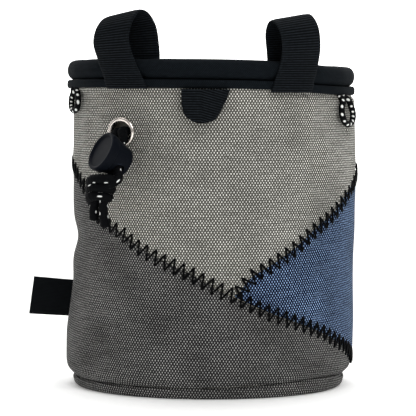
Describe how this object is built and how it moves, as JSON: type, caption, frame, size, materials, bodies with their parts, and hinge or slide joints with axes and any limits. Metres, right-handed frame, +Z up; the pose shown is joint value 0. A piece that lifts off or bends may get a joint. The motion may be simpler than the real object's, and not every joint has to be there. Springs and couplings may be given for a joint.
{
  "type": "climbing chalk bag",
  "caption": "Round canvas chalk bag with a patchwork front, padded rim, belt loops, brush loops, webbing tab, side label, and a drawstring with a sprung cord lock.",
  "frame": {"origin": "middle of the flat underside of the base, on the surface that the bag stands on", "axes": "+Z up through the mouth, -Y towards the front with the patchwork, +X to the right of the front"},
  "size_m": [0.1447, 0.1333, 0.1625],
  "materials": {
    "canvas_light": "washed light grey canvas, plain weave",
    "canvas_dark": "washed charcoal canvas, plain weave",
    "canvas_blue": "washed denim-blue canvas, plain weave",
    "rim_twill": "black fine twill",
    "lining": "pale fleece",
    "webbing": "black ribbed webbing",
    "label": "black woven tape",
    "nickel": "polished nickel plating",
    "lock_plastic": "satin moulded charcoal",
    "cord": "black braided cord with pale flecks"
  },
  "bodies": {
    "bag": {"panel_light": "canvas_light", "panel_dark": "canvas_dark", "panel_blue": "canvas_blue", "panel_back": "canvas_dark", "base_panel": "canvas_dark", "rim_band": "rim_twill", "rim_binding": "rim_twill", "drawstring_casing": "lining", "belt_loop_left": "webbing", "belt_loop_right": "webbing", "front_tab": "webbing", "side_label": "label", "eyelet": "nickel", "cord_lock_body": "lock_plastic", "drawstring_strand_left": "cord", "drawstring_strand_right": "cord", "drawstring_knot": "cord", "drawstring_tail_left": "cord", "drawstring_tail_right": "cord", "brush_loop_left": "cord", "brush_loop_right": "cord"},
    "lock_button": {"cord_lock_button": "lock_plastic"}
  },
  "joints": [
    {"name": "button_press", "type": "slide", "parent": "bag", "child": "lock_button", "axis": [0.7745, 0.4397, -0.4547], "range_m": [0, 0.0016], "stiffness_N_per_m": 800, "springref_m": -0.001}
  ]
}
